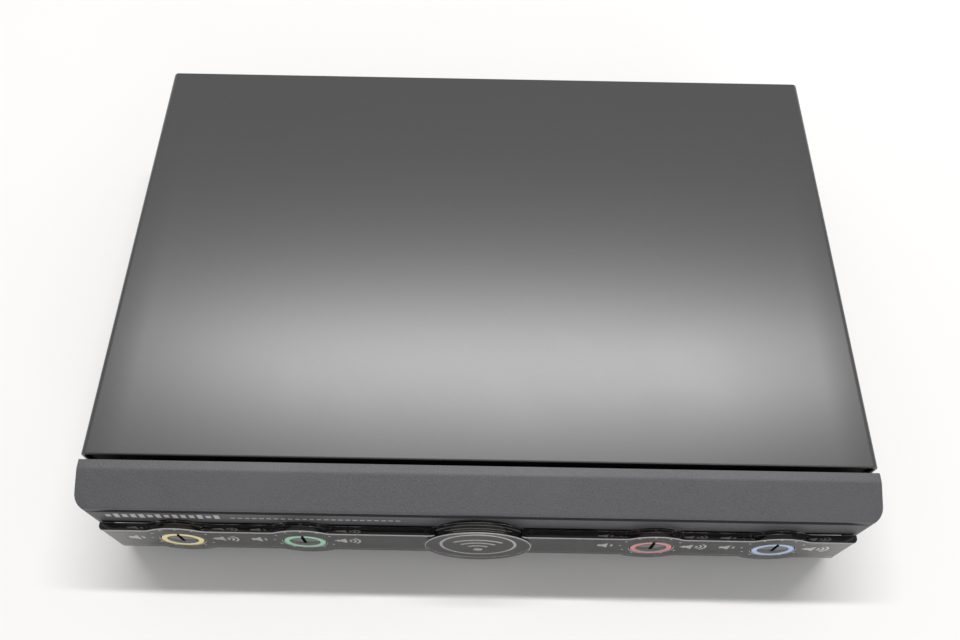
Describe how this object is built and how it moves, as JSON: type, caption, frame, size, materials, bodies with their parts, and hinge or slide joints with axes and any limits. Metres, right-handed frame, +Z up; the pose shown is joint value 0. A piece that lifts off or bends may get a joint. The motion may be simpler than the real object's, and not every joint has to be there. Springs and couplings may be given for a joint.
{
  "type": "wireless receiver unit",
  "caption": "Half-rack desktop wireless audio receiver: folded metal cover, sloped plastic front, smoked window, flush level knobs and rear sockets.",
  "frame": {"origin": "centre of the bounding box on the surface that the feet stand on", "axes": "+Z up, the front with the knobs faces -Y, +X to the right seen from the front"},
  "size_m": [0.2106, 0.1606, 0.044],
  "materials": {
    "cover_paint": "matte black powder paint",
    "chassis_steel": "zinc-plated sheet",
    "panel_paint": "matte black paint",
    "bezel_plastic": "fine spark texture, black",
    "window_acrylic": "polished smoked acrylic",
    "film_black": "dark printed film",
    "ring_yellow": "satin",
    "ring_green": "satin",
    "ring_red": "satin",
    "ring_blue": "satin",
    "cap_black": "gloss black",
    "shaft_metal": "turned",
    "pot_case": "moulded",
    "board_green": "solder mask",
    "sensor_dark": "infrared-pass plastic",
    "led_clear": "clear",
    "steel_screws": "zinc plated",
    "black_screws": "black oxide",
    "brass_posts": "machined",
    "tin_can": "tinned sheet",
    "chip_black": "moulded",
    "can_sleeve": "shrink sleeve",
    "sink_black": "black anodised",
    "ribbon_grey": "grey",
    "header_black": "moulded",
    "jack_black": "moulded",
    "nickel": "nickel plated",
    "switch_black": "moulded",
    "rubber_black": "moulded"
  },
  "bodies": {
    "casing": {"audio_chips": "chip_black", "bezel_screws": "steel_screws", "board_screws": "steel_screws", "board_standoffs": "brass_posts", "bottom_chassis": "chassis_steel", "cover_screws": "black_screws", "electrolytic_capacitors": "can_sleeve", "foot_front_left": "rubber_black", "foot_front_right": "rubber_black", "foot_rear_left": "rubber_black", "foot_rear_right": "rubber_black", "foot_screws": "steel_screws", "front_bezel": "bezel_plastic", "front_board": "board_green", "front_board_screws": "steel_screws", "front_window": "window_acrylic", "heat_sink": "sink_black", "infrared_sensor_left": "sensor_dark", "infrared_sensor_right": "sensor_dark", "jack_nuts": "nickel", "main_board": "board_green", "mode_switch_body": "switch_black", "output_jack_blue": "jack_black", "output_jack_green": "jack_black", "output_jack_red": "jack_black", "output_jack_yellow": "jack_black", "panel_screws": "black_screws", "pot_body_blue": "pot_case", "pot_body_green": "pot_case", "pot_body_red": "pot_case", "pot_body_yellow": "pot_case", "power_inlet": "switch_black", "power_switch_body": "switch_black", "rear_panel": "panel_paint", "ribbon_cable": "ribbon_grey", "ribbon_headers": "header_black", "sensor_socket_a": "nickel", "sensor_socket_b": "nickel", "signal_processor": "chip_black", "socket_nuts": "nickel", "status_leds": "led_clear", "top_cover": "cover_paint", "tuner_chips": "chip_black", "tuner_shield_can": "tin_can", "voltage_regulator": "chip_black", "window_print_film": "film_black"},
    "knob_yellow": {"knob_ring_yellow": "ring_yellow", "knob_cap_yellow": "cap_black", "pot_shaft_yellow": "shaft_metal"},
    "knob_green": {"knob_ring_green": "ring_green", "knob_cap_green": "cap_black", "pot_shaft_green": "shaft_metal"},
    "knob_red": {"knob_ring_red": "ring_red", "knob_cap_red": "cap_black", "pot_shaft_red": "shaft_metal"},
    "knob_blue": {"knob_ring_blue": "ring_blue", "knob_cap_blue": "cap_black", "pot_shaft_blue": "shaft_metal"},
    "rocker": {"power_rocker": "switch_black"},
    "slider": {"mode_slider": "switch_black"}
  },
  "joints": [
    {"name": "yellow_level_turn", "type": "hinge", "parent": "casing", "child": "knob_yellow", "pos_m": [-0.0812, -0.07515, 0.0218], "axis": [0, 1, 0], "range_deg": [-150, 150]},
    {"name": "green_level_turn", "type": "hinge", "parent": "casing", "child": "knob_green", "pos_m": [-0.0476, -0.07515, 0.0218], "axis": [0, 1, 0], "range_deg": [-150, 150]},
    {"name": "red_level_turn", "type": "hinge", "parent": "casing", "child": "knob_red", "pos_m": [0.0476, -0.07515, 0.0218], "axis": [0, 1, 0], "range_deg": [-150, 150]},
    {"name": "blue_level_turn", "type": "hinge", "parent": "casing", "child": "knob_blue", "pos_m": [0.0812, -0.07515, 0.0218], "axis": [0, 1, 0], "range_deg": [-150, 150]},
    {"name": "power_rocker_tilt", "type": "hinge", "parent": "casing", "child": "rocker", "pos_m": [-0.068, 0.06955, 0.0196], "axis": [1, 0, 0], "range_deg": [-20, 0]},
    {"name": "mode_slide", "type": "slide", "parent": "casing", "child": "slider", "axis": [1, 0, 0], "range_m": [0, 0.004]}
  ]
}
